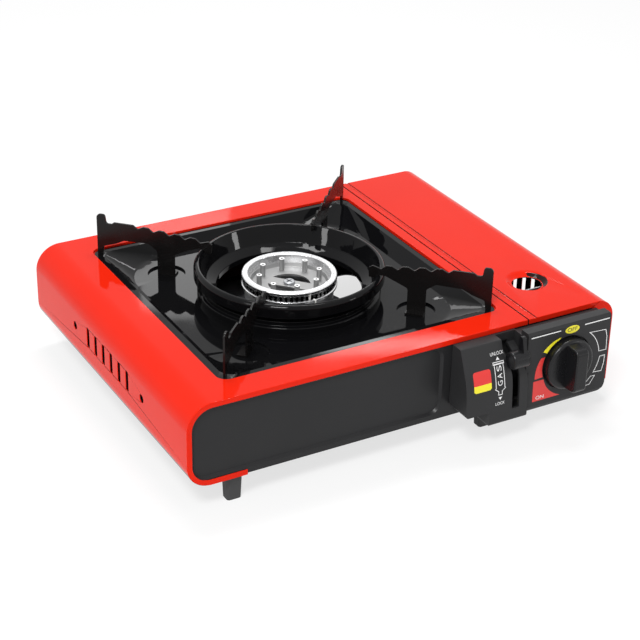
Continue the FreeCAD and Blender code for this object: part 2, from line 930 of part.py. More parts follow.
def burner_bridge():
    """Cast rib across the cup that the deck is screwed to."""
    low = ring_low - cup_height + cup_wall + 1
    rib = burner_strip(bridge_width / 2 - 1, low, deck_z)
    rib = rib.common(rod_z(burner_x, burner_y, cup_foot_radius, low, deck_z))
    rib = rib.cut(burner_body())
    return rib.cut(rod_z(burner_x, burner_y, screw_radius, deck_z + deck_sheet - thread_depth, deck_z + 1))


def burner_screw():
    """Cross-head screw in the middle of the deck."""
    level = deck_z + deck_sheet
    head = rod_z(burner_x, burner_y, screw_head_radius, level, level + screw_head_height)
    head = head.makeFillet(0.8, [head.Edges[0]])
    shank = rod_z(burner_x, burner_y, screw_radius, level - thread_depth, level)
    screw = joined([head, shank])
    for turn in (0, 90):
        slot = box(-2.6, 2.6, -0.5, 0.5, level + screw_head_height - 1.2, level + screw_head_height + 1)
        slot.rotate(vector(0, 0, 0), vector(0, 0, 1), turn + 20)
        slot.translate(vector(burner_x, burner_y, 0))
        screw = screw.cut(slot)
    return screw


def burner_seat():
    """Round pressed plate under the burner, on two legs from the base plate's middle strip."""
    plate = rod_z(burner_x, burner_y, seat_radius, seat_top - seat_sheet, seat_top)
    pieces = [plate]
    half = seat_leg_width / 2
    reach = math.sqrt(seat_radius ** 2 - half ** 2) - 1
    for side in (-1, 1):
        outer = burner_x + side * reach
        inner = outer - side * seat_sheet
        x0 = min(inner, outer)
        x1 = max(inner, outer)
        pieces.append(box(x0, x1, burner_y - half, burner_y + half, base_high, seat_top))
        x0 = min(inner, outer + side * seat_toe)
        x1 = max(inner, outer + side * seat_toe)
        pieces.append(box(x0, x1, burner_y - half, burner_y + half, base_high, base_high + seat_sheet))
    return joined(pieces)


def tube_direction():
    return vector(outlet_x - burner_x, outlet_y - burner_y, 0).normalize()


def tube_rod(radius, start, end):
    """Round rod on the gas tube's axis, between two distances from the burner's middle."""
    along = tube_direction()
    return Part.makeCylinder(radius, end - start, vector(burner_x, burner_y, tube_z) + along * start, along)


def mixing_tube():
    """Tube from the jet to the burner's neck, with two air holes near the jet."""
    tube = tube_rod(tube_radius, tube_start, tube_end)
    tube = tube.cut(tube_rod(tube_radius - tube_wall, tube_start - 1, tube_end + 1))
    place = vector(burner_x, burner_y, tube_z) + tube_direction() * (tube_end - air_hole_back)
    hole = Part.makeCylinder(air_hole_radius, 4 * tube_radius, place - vector(0, 0, 2 * tube_radius))
    return tube.cut(hole)


def gas_jet():
    """Brass jet at the regulator's outlet, pointing into the tube."""
    jet = tube_rod(jet_radius, outlet_start - jet_length, outlet_start)
    return jet.cut(tube_rod(jet_bore, outlet_start - jet_length - 1, outlet_start + 1))


def regulator_body():
    """Die-cast body: a drum on the cartridge's axis with the outlet boss and the spindle's bore."""
    drum = rod_y(bay_x, bay_z, regulator_radius, regulator_front, regulator_back)
    outlet = tube_rod(outlet_radius, outlet_start, outlet_start + outlet_length)
    collar_ring = rod_y(bay_x, bay_z, collar_radius, regulator_back, guide_y)
    body = joined([drum, outlet, collar_ring])
    bore_radius = spindle_radius + fit_play
    body = body.cut(rod_y(knob_x, knob_z, bore_radius, regulator_front - 1, regulator_front + spindle_bore))
    body = body.cut(rod_y(bay_x, bay_z, socket_radius, guide_y - seal_length - socket_depth, guide_y + 1))
    return body.removeSplitter()


def socket_seal():
    """Rubber ring at the bottom of the cartridge socket."""
    front = guide_y - seal_length - socket_depth
    ring = rod_y(bay_x, bay_z, socket_radius, front, front + seal_length)
    return ring.cut(rod_y(bay_x, bay_z, seal_bore, front - 1, front + seal_length + 1))


def regulator_cover():
    """Pressed cover of the diaphragm, under the drum."""
    low = bay_z - regulator_radius - cover_height
    high = bay_z - math.sqrt(regulator_radius ** 2 - cover_radius ** 2)
    y = (regulator_front + regulator_back) / 2
    corners = [(0, low, 0), (cover_radius, low, 1.5), (cover_radius, high, 0), (0, high, 0)]
    cover = turned(corners, bay_x, y)
    return cover.cut(rod_y(bay_x, bay_z, regulator_radius, 0, guide_y))


def regulator_bracket():
    """Plate that carries the regulator, tied to the front panel and the base plate."""
    front = regulator_front - bracket_sheet
    left = seam_x + 2
    right = width - bay_side_gap
    top = bay_z + bracket_top
    pieces = [
        box(left, right, front, regulator_front, base_high, top),
        box(left, left + bracket_sheet, bay_panel_back, front, base_high + 3, top),
        box(left, left + 11, regulator_front, regulator_front + 9, base_high, base_high + bracket_sheet),
    ]
    return joined(pieces).cut(rod_y(knob_x, knob_z, spindle_radius + 1, 0, regulator_front + 1))


def cartridge_guide():
    """Plate behind the regulator that centres the cartridge, with the tongue for the rim's notch."""
    plate = box(partition_right, width - bay_side_gap, guide_y, guide_y + guide_sheet, base_high, seam_low)
    plate = plate.cut(rod_y(bay_x, bay_z, socket_radius + 4, guide_y - 1, guide_y + 3))
    plate = plate.cut(tube_rod(tube_radius + 1, tube_end - 40, tube_end + 20))
    half = tongue_width / 2
    low = bay_z + tongue_rise
    tongue = box(bay_x - half, bay_x + half, guide_y, guide_y + tongue_length, low, low + guide_sheet)
    return joined([plate, tongue])


def valve_spindle():
    """Spindle from the knob into the regulator, with the spiral cam that works the igniter."""
    shaft_end = regulator_front + spindle_bore - 1
    shaft = rod_y(knob_x, knob_z, spindle_radius, -housing_face - spindle_reach, shaft_end)
    start = igniter_y - cam_thickness / 2
    points = []
    steps = 24
    sweep = knob_turn + 2 * cam_margin
    for i in range(steps + 1):
        turn = cam_margin - sweep * i / steps
        radius = cam_start_radius - cam_lift * turn / knob_turn
        angle = math.radians(turn)
        points.append(vector(knob_x + radius * math.cos(angle), start, knob_z + radius * math.sin(angle)))
    spiral = Part.BSplineCurve()
    spiral.interpolate(points)
    first = points[0]
    last = points[-1]
    back_angle = math.radians(cam_margin - sweep - (360 - sweep) / 2)
    back_x = knob_x + cam_base_radius * math.cos(back_angle)
    back = vector(back_x, start, knob_z + cam_base_radius * math.sin(back_angle))
    wire = Part.Wire([spiral.toShape(), Part.makeLine(last, back), Part.makeLine(back, first)])
    cam = Part.Face(wire).extrude(vector(0, cam_thickness, 0))
    return joined([shaft, cam])


def piezo_igniter():
    """Body of the spark generator, fixed to the regulator's bracket, with the plunger's bore."""
    half = igniter_size / 2
    right = igniter_x + igniter_length
    body = box(igniter_x, right, igniter_y - half, igniter_y + half, knob_z - half, knob_z + half)
    bore_radius = plunger_radius + fit_play
    return body.cut(rod_x(igniter_y, knob_z, bore_radius, igniter_x - 1, igniter_x + plunger_bore))


def piezo_plunger():
    """Plunger that the cam pushes into the spark generator."""
    nose = knob_x + cam_start_radius + play
    end = igniter_x + plunger_bore - plunger_travel - play
    rod = rod_x(igniter_y, knob_z, plunger_radius, nose, end)
    return rod.makeFillet(1.0, [edge for edge in rod.Edges if abs(edge.CenterOfMass.x - nose) < 0.01])


def igniter_electrode():
    """Ceramic rod with a bent wire tip at the flame slots."""
    top = ring_low + 1
    ceramic = rod_z(burner_x, electrode_y, electrode_radius, top - electrode_length, top)
    wire = rod_z(burner_x, electrode_y, tip_radius, top, top + 3.5)
    tip = rod_y(burner_x, top + 2.8, tip_radius - 0.1, electrode_y, electrode_y + 2.6)
    return joined([ceramic, wire, tip])


def electrode_bracket():
    """Clip from the burner's cup to the ceramic."""
    z = ring_low - 5
    clip = box(burner_x - 4, burner_x + 4, electrode_y - 4, burner_y - cup_radius + 3, z, z + bracket_sheet)
    clip = clip.cut(rod_z(burner_x, electrode_y, electrode_radius, z - 1, z + 3))
    return clip.cut(rod_z(burner_x, burner_y, cup_radius, z - 1, z + 3))


def igniter_lead():
    """Wire from the spark generator along the base plate and up to the electrode's foot."""
    right = igniter_x + igniter_length - 6
    low = ring_low + 1 - electrode_length
    run = low - 8
    points = [
        vector(right, igniter_y, knob_z - igniter_size / 2),
        vector(right, igniter_y, lead_z),
        vector(housing_left - 6, igniter_y, lead_z),
        vector(housing_left - 18, igniter_y + 6, lead_z + 7),
        vector(burner_x + 14, burner_y - seat_radius - 12, run),
        vector(burner_x, electrode_y, run),
        vector(burner_x, electrode_y, low),
    ]
    return bent_tube(points, [5, 8, 8, 8, 4], lead_radius)


def lever_arm():
    """Bell crank at rest: the arm points forward and up, the crank pin stands behind the top."""
    half = lever_width / 2
    end = lever_length + 3
    outline = [(-half, -half, half - 0.1), (end, -half, 2), (end, half, 2), (-half, half, half - 0.1)]
    plate = slab_xz(outline, -lever_sheet / 2, lever_sheet / 2)
    plate.rotate(vector(0, 0, 0), vector(0, 0, 1), -90)
    plate.rotate(vector(0, 0, 0), vector(1, 0, 0), -lever_up)
    plate.translate(vector(lever_x, lever_y, lever_z))
    hub = rod_x(lever_y, lever_z, hub_radius, lever_x - hub_half_length, lever_x + hub_half_length)
    crank_right = lever_x + hub_half_length
    crank = slab_yz(
        [
            (-3.5, -3.5, 3.0),
            (3.5, -3.5, 3.0),
            (3.5, crank_length + 3.2, 3.0),
            (-3.5, crank_length + 3.2, 3.0),
        ],
        crank_right - lever_sheet,
        crank_right,
    )
    pin = rod_x(0, crank_length, crank_pin_radius, crank_right - 1, bar_x + bar_sheet + 1)
    ear = joined([crank, pin])
    ear.rotate(vector(0, 0, 0), vector(1, 0, 0), -crank_lean)
    ear.translate(vector(0, lever_y, lever_z))
    lever = joined([hub, plate, ear])
    return lever.cut(rod_x(lever_y, lever_z, lever_pin_radius + fit_play, lever_x - 20, lever_x + 20))


def lever_handle():
    """Plastic grip on the arm's end, with a fin above it."""
    grip = rod_x(0, 0, handle_radius, handle_left, handle_right)
    ends = [edge for edge in grip.Edges if abs(edge.Length - 2 * math.pi * handle_radius) < 0.01]
    grip = grip.makeFillet(1.5, ends)
    fin = slab_yz(
        [
            (-5, 0, 0),
            (3, 0, 0),
            (3, handle_radius + fin_height, 2),
            (-1, handle_radius + fin_height, 1.5),
        ],
        handle_right - 5,
        handle_right - 2,
    )
    handle = joined([grip, fin])
    handle.translate(vector(0, handle_y, handle_z))
    return handle.cut(lever_arm())


def lever_pin():
    """Pivot pin across the lever's bracket."""
    outer = hub_half_length + play + cheek_sheet
    return rod_x(lever_y, lever_z, lever_pin_radius, lever_x - outer, lever_x + outer)


def lever_bracket():
    """Two cheeks behind the front panel that hold the lever's pin."""
    inner = hub_half_length + play
    outer = inner + cheek_sheet
    half = 6.5
    pieces = []
    for side in (-1, 1):
        x0 = lever_x + min(side * inner, side * outer)
        x1 = lever_x + max(side * inner, side * outer)
        corners = rectangle(panel_back, lever_y + half, lever_z - half, lever_z + half, 0)
        cheek = slab_yz(corners, x0, x1)
        toe0 = lever_x + min(side * inner, side * (outer + 6))
        toe1 = lever_x + max(side * inner, side * (outer + 6))
        toe = box(toe0, toe1, panel_back, panel_back + cheek_sheet, lever_z - half, lever_z + half)
        pieces.append(joined([cheek, toe]))
    low = lever_z - half
    reach = hub_half_length + play
    tie = box(lever_x - reach, lever_x + reach, lever_y - 3, lever_y + half, low - cheek_sheet, low)
    skirts = []
    for side in (-1, 1):
        x0 = lever_x + min(side * inner, side * outer)
        x1 = lever_x + max(side * inner, side * outer)
        skirts.append(box(x0, x1, lever_y - 3, lever_y + half, low - cheek_sheet, low))
    bracket = joined(pieces + skirts + [tie])
    return bracket.cut(rod_x(lever_y, lever_z, lever_pin_radius, lever_x - 30, lever_x + 30))


def carriage_bar():
    """Flat bar beside the bay, with guide slots and the upright slot for the crank pin."""
    low = foot_height + bar_low
    high = foot_height + bar_high
    pin_y = lever_y + crank_behind
    pin_low = lever_z + crank_length * math.cos(math.radians(crank_lean))
    pin_high = lever_z + crank_length
    clear = crank_pin_radius + play
    bar = box(bar_x, bar_x + bar_sheet, pin_y - 6, bar_end, low, high)
    lug = box(bar_x, bar_x + bar_sheet, pin_y - 6, pin_y + 6, pin_low - clear - 3, high)
    bar = joined([bar, lug])
    slot = slab_yz(
        rectangle(pin_y - clear, pin_y + clear, pin_low - clear, pin_high + clear, clear - 0.05),
        bar_x - 1,
        bar_x + bar_sheet + 1,
    )
    bar = bar.cut(slot)
    for y in stud_places:
        radius = stud_radius + play / 2
        corners = rectangle(
            y - radius - play, y + carriage_travel + radius + play, bar_z - radius, bar_z + radius,
            radius - 0.02,
        )
        bar = bar.cut(slab_yz(corners, bar_x - 1, bar_x + bar_sheet + 1))
    return bar


def cartridge_pusher():
    """Plate behind the cartridge, fixed to the bar through the partition's slot."""
    low = foot_height + bar_low
    high = foot_height + bar_high
    corners = [
        (bar_x + bar_sheet, low, 0),
        (partition_right + 2.5, low, 0),
        (partition_right + 2.5, foot_height + 22, 2),
        (pusher_right, foot_height + 22, 6),
        (pusher_right, high, 8),
        (bar_x + bar_sheet, high, 0),
    ]
    plate = slab_xz(corners, pusher_y, pusher_y + pusher_sheet)
    toe = box(bar_x + bar_sheet, bar_x + bar_sheet + 1.2, pusher_y - 9, pusher_y + pusher_sheet, low, high)
    return joined([plate, toe])


def carriage_studs():
    """Shouldered studs on the partition that guide the bar."""
    studs = []
    for y in stud_places:
        z = bar_z
        shank = rod_x(y, z, stud_radius, bar_x - play, partition_right)
        head = rod_x(y, z, 2.8, bar_x - play - 1.2, bar_x - play)
        shoulder = rod_x(y, z, 2.6, bar_x + bar_sheet + play, partition_left)
        studs.append(joined([shank, head, shoulder]))
    return Part.makeCompound(studs)


def housing_profile(inset, face, belly):
    """Side outline of the control housing: back, top and the front that bulges to the belly."""
    low = foot_height - housing_bottom + inset
    high = shell_top - lever_part_gap - inset
    return [
        (-play, low, 0),
        (-belly + inset, low, 3.0 - inset * 0.5),
        (-(face + belly) / 2 + inset, foot_height + 33, 60.0),
        (-10.0 + inset, high, 1.5),
        (-play, high, 0),
    ]


def main_profile(inset):
    """Side outline of the housing's right part, with a flat face and a stepped top."""
    low = foot_height - housing_bottom + inset
    high = shell_top - housing_top_gap - inset
    face = -housing_face + inset
    ledge_y = -housing_ledge - inset
    ledge_z = high - housing_ledge_drop
    return [
        (-play, low, 0),
        (face + 1.0, low, 1.5),
        (face, low + 3.0, 1.0),
        (face, high - 1.5, 0.8),
        (face + 1.5, high, 0.8),
        (ledge_y, high, 0.5),
        (ledge_y, ledge_z, 0.5),
        (-play, ledge_z, 0),
    ]


def housing_front(inset):
    """Front outline of the housing, higher at its lower left, rounded at its lower right."""
    low = foot_height - housing_bottom + inset
    step_low = foot_height + housing_step_rise + inset
    left = housing_left + inset
    right = housing_right - inset
    top = shell_top + 5
    return [
        (left, step_low, 2.0),
        (housing_step + inset, step_low, 1.0),
        (housing_step + inset, low, 2.0),
        (right, low, 8.0 - inset),
        (right, top, 0),
        (left, top, 0),
    ]


def housing_block(inset):
    """Everything inside the housing's outer surface, or inside its walls."""
    split = housing_split + inset
    lever_part = slab_yz(housing_profile(inset, housing_face, housing_belly), housing_left, split)
    main_part = slab_yz(main_profile(inset), split, housing_right)
    outline = slab_xz(housing_front(inset), -60, 5)
    return joined([lever_part, main_part]).common(outline)


def control_housing():
    """Moulded housing over the right end of the front: lever part on the left, dial on the right."""
    block = housing_block(0)
    housing = block.cut(housing_block(housing_wall))
    floor_radius = lever_length - handle_radius - 0.8
    wall_left = groove_left - housing_wall
    wall_right = groove_right + housing_wall
    around = box(wall_left, wall_right, -60, -play, lever_z - 10, shell_top + 5)
    around = around.cut(rod_x(lever_y, lever_z, floor_radius - housing_wall, 0, width))
    groove = box(groove_left, groove_right, -60, -play - housing_wall, lever_z - 8, shell_top + 5)
    groove = groove.cut(rod_x(lever_y, lever_z, floor_radius, 0, width))
    housing = housing.fuse(block.common(around)).cut(groove)
    half_slot = lever_sheet / 2 + slot_play
    slot = box(lever_x - half_slot, lever_x + half_slot, -60, 1, lever_z - 8, lever_z + 36)
    housing = housing.cut(slot)
    dial = rod_y(knob_x, knob_z, dial_radius, -housing_face - 5, -housing_face + dial_depth)
    pad_back = -housing_face + dial_depth + housing_wall
    pad = rod_y(knob_x, knob_z, dial_radius + housing_wall, -housing_face, pad_back)
    housing = housing.fuse(pad.common(block)).cut(dial)
    for x, z in housing_screw_places():
        back = panel_face if x < seam_x else bay_panel_face
        boss = rod_y(x, z, boss_radius, -housing_belly, back)
        outside = rod_y(x, z, boss_radius, -housing_belly - 1, -play).cut(block)
        housing = housing.fuse(boss.cut(outside))
        housing = housing.cut(rod_y(x, z, boss_bore, -9, 2))
    housing = housing.cut(rod_y(knob_x, knob_z, spindle_radius + 3.5, -60, 2))
    return housing.removeSplitter()


def control_knob():
    """Round knob with a bar grip that points up at OFF, and a hub on the spindle."""
    back = -housing_face + dial_depth - 0.6
    front = -housing_face - knob_base
    base = rod_y(knob_x, knob_z, knob_radius, front, back)
    rim = [edge for edge in base.Edges if abs(edge.CenterOfMass.y - front) < 0.01]
    base = base.makeFillet(2.5, rim)
    half = grip_width / 2
    grip = slab_yz(
        [
            (back - 1, knob_z - grip_length / 2, 0),
            (-knob_reach, knob_z - grip_length / 2 + 1, 4),
            (-knob_reach, knob_z + grip_length / 2 - 1, 4),
            (back - 1, knob_z + grip_length / 2, 0),
        ],
        knob_x - half,
        knob_x + half,
    )
    edges = [edge for edge in grip.Edges if edge.BoundBox.XLength < 0.01 and edge.CenterOfMass.y < front]
    grip = grip.makeFillet(1.2, edges)
    hub = rod_y(knob_x, knob_z, spindle_radius + 2.5, back, -8)
    knob = joined([base, grip, hub])
    return knob.cut(rod_y(knob_x, knob_z, spindle_radius, -housing_face - spindle_reach, 5))


def canister_lid():
    """L-shaped lid over the bay, with end lips, a dished hole, a groove and side vents."""
    lid = slab_xz(lid_corners(0, 0), 0, depth)
    lid = lid.cut(slab_xz(lid_shift(lid_corners(sheet, sheet)), sheet, depth - sheet))
    lid = lid.cut(slab_xz(lid_shift(lid_corners(frame_lip, lid_side_lip)), -1, depth + 1))
    foot = dish_hole + 1
    low = shell_top - dish_depth
    dish = Part.makeCone(foot, dish_radius, dish_depth, vector(dish_x, dish_y, low))
    bowl = Part.makeCone(foot + sheet, dish_radius + sheet, dish_depth, vector(dish_x, dish_y, low - sheet))
    lid = lid.fuse(bowl).cut(dish)
    lid = lid.cut(rod_z(dish_x, dish_y, dish_hole, shell_top - 10, shell_top + 1))
    groove_x = seam_x + seam_gap + lid_groove_gap
    groove_low = shell_top - lid_groove_depth
    groove = box(groove_x, groove_x + lid_groove_width, -1, depth + 1, groove_low, shell_top + 1)
    lid = lid.cut(groove)
    inside = width - sheet - 1
    vents = side_vents(inside, width + 1, lid_vent_count, lid_vent_pitch, lid_vent_height, lid_vent_rise)
    for cutter in vents:
        lid = lid.cut(cutter)
    return lid.removeSplitter()


def lid_shift(corners):
    """Opens an outline past the lid's left and lower edges."""
    opened = []
    for u, v, radius in corners:
        u = u - 5 if u < seam_x + 1 else u
        v = v - 5 if v < foot_height else v
        opened.append((u, v, radius))
    return opened


def knuckle_spans(first):
    """Spans along Y of every second knuckle."""
    pitch = (hinge_end - hinge_start) / knuckle_count
    spans = []
    for i in range(first, knuckle_count, 2):
        spans.append((hinge_start + pitch * i + play / 2, hinge_start + pitch * (i + 1) - play / 2))
    return spans


def base_hinge_leaf():
    """Fixed leaf on the base plate's flange, with its knuckles."""
    left = width - base_side_gap
    pieces = []
    for start, end in knuckle_spans(0):
        tab = box(left, left + sheet, start, end, hinge_z, foot_height + 14)
        pieces.append(joined([tab, rod_y(hinge_x, hinge_z, knuckle_radius, start, end)]))
    strip = box(left, left + sheet, hinge_start, hinge_end, foot_height + 4, foot_height + 14)
    leaf = joined(pieces + [strip])
    return leaf.cut(rod_y(hinge_x, hinge_z, hinge_pin_radius + 0.01, 0, depth))


def lid_hinge_leaf():
    """Moving leaf on the lid's side wall, with its knuckles."""
    right = width - sheet
    pieces = []
    for start, end in knuckle_spans(1):
        tab = box(right - sheet, right, start, end, hinge_z, foot_height + 14)
        pieces.append(joined([tab, rod_y(hinge_x, hinge_z, knuckle_radius, start, end)]))
    strip = box(right - sheet, right, hinge_start, hinge_end, foot_height + 4, foot_height + 14)
    leaf = joined(pieces + [strip])
    return leaf.cut(rod_y(hinge_x, hinge_z, hinge_pin_radius + fit_play, 0, depth))


def hinge_pin():
    return rod_y(hinge_x, hinge_z, hinge_pin_radius, hinge_start, hinge_end)


def housing_screws():
    """Screws from behind the front panel into the housing's bosses."""
    screws = []
    for x, z in housing_screw_places():
        back = panel_back if x < seam_x else bay_panel_back
        head = rod_y(x, z, head_radius, back, back + head_height)
        screws.append(joined([head, rod_y(x, z, boss_bore, -8, back)]))
    return Part.makeCompound(screws)


def foot_places():
    """Each foot's name with its left front corner and whether it stands under the base plate."""
    back = depth - foot_inset - foot_depth
    return [
        ("foot_front_left", foot_left_x, foot_inset, False),
        ("foot_back_left", foot_left_x, back, False),
        ("foot_front_right", foot_right_x, foot_inset, True),
        ("foot_back_right", foot_right_x, back, True),
    ]


os.makedirs("parts", exist_ok=True)

save("body_shell", body_shell())
save("front_panel", front_panel())
save("back_panel", back_panel())
save("base_plate", base_plate())
save("bay_partition", bay_partition())
for name, x, y, under_base in foot_places():
    save(name, right_foot(x, y) if under_base else foot(x, y))

save("drip_pan", drip_pan())
for name, turn in (("back_right", 45), ("back_left", 135), ("front_left", 225), ("front_right", 315)):
    save("support_" + name, support(turn))

save("burner_ring", burner_ring())
save("burner_body", burner_body())
save("burner_deck", burner_deck())
save("burner_bridge", burner_bridge())
save("burner_screw", burner_screw())
save("burner_seat", burner_seat())
save("mixing_tube", mixing_tube())
save("gas_jet", gas_jet())
save("igniter_electrode", igniter_electrode())
save("electrode_bracket", electrode_bracket())
save("igniter_lead", igniter_lead())

save("regulator_body", regulator_body())
save("regulator_cover", regulator_cover())
save("socket_seal", socket_seal())
save("regulator_bracket", regulator_bracket())
save("cartridge_guide", cartridge_guide())
save("valve_spindle", valve_spindle())
save("piezo_igniter", piezo_igniter())
save("piezo_plunger", piezo_plunger())

save("control_housing", control_housing())
save("control_knob", control_knob())
save("housing_screws", housing_screws())
save("lever_arm", lever_arm())
save("lever_handle", lever_handle())
save("lever_pin", lever_pin())
save("lever_bracket", lever_bracket())
save("carriage_bar", carriage_bar())
save("cartridge_pusher", cartridge_pusher())
save("carriage_studs", carriage_studs())

save("canister_lid", canister_lid())
save("base_hinge_leaf", base_hinge_leaf())
save("lid_hinge_leaf", lid_hinge_leaf())
save("hinge_pin", hinge_pin())
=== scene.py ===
"""Looks for the butane cassette stove: materials, printed marks, floor, lights and camera."""
import bpy
import bmesh
import json
import math
from mathutils import Matrix, Vector
from mathutils.bvhtree import BVHTree


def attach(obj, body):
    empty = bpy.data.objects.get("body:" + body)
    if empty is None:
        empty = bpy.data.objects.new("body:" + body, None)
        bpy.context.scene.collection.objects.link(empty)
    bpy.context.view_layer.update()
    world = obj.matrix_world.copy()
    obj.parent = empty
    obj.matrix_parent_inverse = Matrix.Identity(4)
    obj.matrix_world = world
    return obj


# The part's drawing starts at the casing's front left corner; these move it to the row frame
DRAWING_X = 170.0
DRAWING_Y = 114.0
SHELL_TOP = 82.0
RING_TOP = 87.6
BURNER_X = 145.4
BURNER_Y = 132.0
KNOB_X = 287.0
KNOB_Z = 51.5
DIAL_RADIUS = 21.2

# Printed marks: thickness of the ink, longest edge that follows a curved face, a plane in front of
# the housing to lay them on from, the two pens and places
INK = 0.08
LONGEST_EDGE = 2.0
IN_FRONT = -60.0
THIN_LINE = 0.5
THICK_LINE = 0.8
TOP_LINES_Z = 78.0
OFF_X = 289.4
OFF_Z = 76.9
LEVER_MARKS_X = 229.0

# Dark strip between the control housing and the front panel, put in as painted shade
SHADE_STRIP_ENDS = (224.0, 318.0)
SHADE_STRIP_MIDDLE = -1.1
SHADE_STRIP_HALF_WIDTH = 1.9
SHADE_STRIP_LOW = 20.6
SHADE_STRIP_RISE = 1.3
SHADE_STRIP_STEPS = 12

# Inside of the sheets, where painted shade goes: how far a face must be turned, how low the
# bottom's upper side lies, and how far behind the front plane it starts
FACING = 0.3
LOW_SIDE = 40.0
BEHIND_FRONT = 10.0

# Brightness of the world on the part, and of the floor where it is seen
WORLD_STRENGTH = 0.55
FLOOR_GLOW = 0.72

# Camera, fitted to the photograph
CAMERA_PLACE = (-0.5559, -0.9503, 0.6379)
CAMERA_AZIMUTH = -29.95
CAMERA_ELEVATION = 28.09
CAMERA_ROLL = 1.33
CAMERA_LENS = 95.54
CAMERA_SENSOR = 36.0


def at(x, y, z):
    """A point of the drawing, in millimetres, as a point of the row frame in metres."""
    return Vector(((x - DRAWING_X) / 1000, (y - DRAWING_Y) / 1000, z / 1000))


def add_object(name, data):
    piece = bpy.data.objects.new(name, data)
    bpy.context.scene.collection.objects.link(piece)
    return piece


# Materials

def new_material(name):
    material = bpy.data.materials.new(name)
    material.use_nodes = True
    tree = material.node_tree
    return material, tree, tree.nodes["Principled BSDF"]


def object_noise(tree, scale, detail):
    """Noise laid out in the object's own coordinates, so it stays put on the surface."""
    place = tree.nodes.new("ShaderNodeTexCoord")
    noise = tree.nodes.new("ShaderNodeTexNoise")
    noise.inputs["Scale"].default_value = scale
    noise.inputs["Detail"].default_value = detail
    tree.links.new(place.outputs["Object"], noise.inputs["Vector"])
    return noise


def spread(tree, source, low, high):
    """Maps the middle of a noise to a range."""
    remap = tree.nodes.new("ShaderNodeMapRange")
    remap.inputs["From Min"].default_value = 0.3
    remap.inputs["From Max"].default_value = 0.7
    remap.inputs["To Min"].default_value = low
    remap.inputs["To Max"].default_value = high
    tree.links.new(source, remap.inputs["Value"])
    return remap.outputs["Result"]


def add_bump(tree, shader, source, strength, distance):
    bump = tree.nodes.new("ShaderNodeBump")
    bump.inputs["Strength"].default_value = strength
    bump.inputs["Distance"].default_value = distance
    tree.links.new(source, bump.inputs["Height"])
    tree.links.new(bump.outputs["Normal"], shader.inputs["Normal"])


def vary_colour(tree, shader, noise, colour, other):
    """Base colour that drifts a little between two close colours."""
    mix = tree.nodes.new("ShaderNodeMix")
    mix.data_type = "RGBA"
    mix.inputs["A"].default_value = (*colour, 1)
    mix.inputs["B"].default_value = (*other, 1)
    tree.links.new(noise, mix.inputs["Factor"])
    tree.links.new(mix.outputs["Result"], shader.inputs["Base Color"])


def surface(
    name, colour, other, rough, metallic=0.0, ior=1.5, grain=900.0, bump=0.05, depth=0.00002
):
    """Material with a drifting colour, uneven roughness and a fine grain."""
    material, tree, shader = new_material(name)
    shader.inputs["Metallic"].default_value = metallic
    shader.inputs["IOR"].default_value = ior
    drift = object_noise(tree, 18.0, 3.0)
    vary_colour(tree, shader, drift.outputs["Fac"], colour, other)
    smudge = object_noise(tree, 60.0, 4.0)
    roughness = spread(tree, smudge.outputs["Fac"], *rough)
    tree.links.new(roughness, shader.inputs["Roughness"])
    fine = object_noise(tree, grain, 2.0)
    add_bump(tree, shader, fine.outputs["Fac"], bump, depth)
    return material


def brushed(name, colour, other, rough, stretch):
    """Metal with fine drawn lines along one direction."""
    material, tree, shader = new_material(name)
    shader.inputs["Metallic"].default_value = 1.0
    place = tree.nodes.new("ShaderNodeTexCoord")
    scale = tree.nodes.new("ShaderNodeMapping")
    scale.inputs["Scale"].default_value = stretch
    noise = tree.nodes.new("ShaderNodeTexNoise")
    noise.inputs["Scale"].default_value = 400.0
    tree.links.new(place.outputs["Object"], scale.inputs["Vector"])
    tree.links.new(scale.outputs["Vector"], noise.inputs["Vector"])
    vary_colour(tree, shader, noise.outputs["Fac"], colour, other)
    roughness = spread(tree, noise.outputs["Fac"], *rough)
    tree.links.new(roughness, shader.inputs["Roughness"])
    add_bump(tree, shader, noise.outputs["Fac"], 0.08, 0.00003)
    return material


def add_mask(material, mask, colour):
    """Covers the material's base colour with another colour where the mask is 1."""
    tree = material.node_tree
    shader = tree.nodes["Principled BSDF"]
    under = shader.inputs["Base Color"].links[0].from_socket
    mix = tree.nodes.new("ShaderNodeMix")
    mix.data_type = "RGBA"
    mix.inputs["B"].default_value = (*colour, 1)
    tree.links.new(mask, mix.inputs["Factor"])
    tree.links.new(under, mix.inputs["A"])
    tree.links.new(mix.outputs["Result"], shader.inputs["Base Color"])


def maths(tree, operation, first, second):
    """One math node; each input is a socket or a number."""
    node = tree.nodes.new("ShaderNodeMath")
    node.operation = operation
    for i, value in enumerate((first, second)):
        if isinstance(value, float):
            node.inputs[i].default_value = value
        else:
            tree.links.new(value, node.inputs[i])
    return node.outputs[0]


def ring_mask(tree, inner, outer, low, high):
    """1 between two radii from the burner's axis and between two heights, in millimetres."""
    place = tree.nodes.new("ShaderNodeTexCoord")
    parts = tree.nodes.new("ShaderNodeSeparateXYZ")
    tree.links.new(place.outputs["Object"], parts.inputs[0])
    middle = at(BURNER_X, BURNER_Y, 0)
    across = maths(tree, "SUBTRACT", parts.outputs["X"], middle.x)
    along = maths(tree, "SUBTRACT", parts.outputs["Y"], middle.y)
    square = maths(tree, "ADD", maths(tree, "POWER", across, 2.0), maths(tree, "POWER", along, 2.0))
    radius = maths(tree, "SQRT", square, 0.0)
    mask = maths(tree, "GREATER_THAN", radius, inner / 1000)
    mask = maths(tree, "MULTIPLY", mask, maths(tree, "LESS_THAN", radius, outer / 1000))
    above = maths(tree, "GREATER_THAN", parts.outputs["Z"], low / 1000)
    mask = maths(tree, "MULTIPLY", mask, above)
    return maths(tree, "MULTIPLY", mask, maths(tree, "LESS_THAN", parts.outputs["Z"], high / 1000))


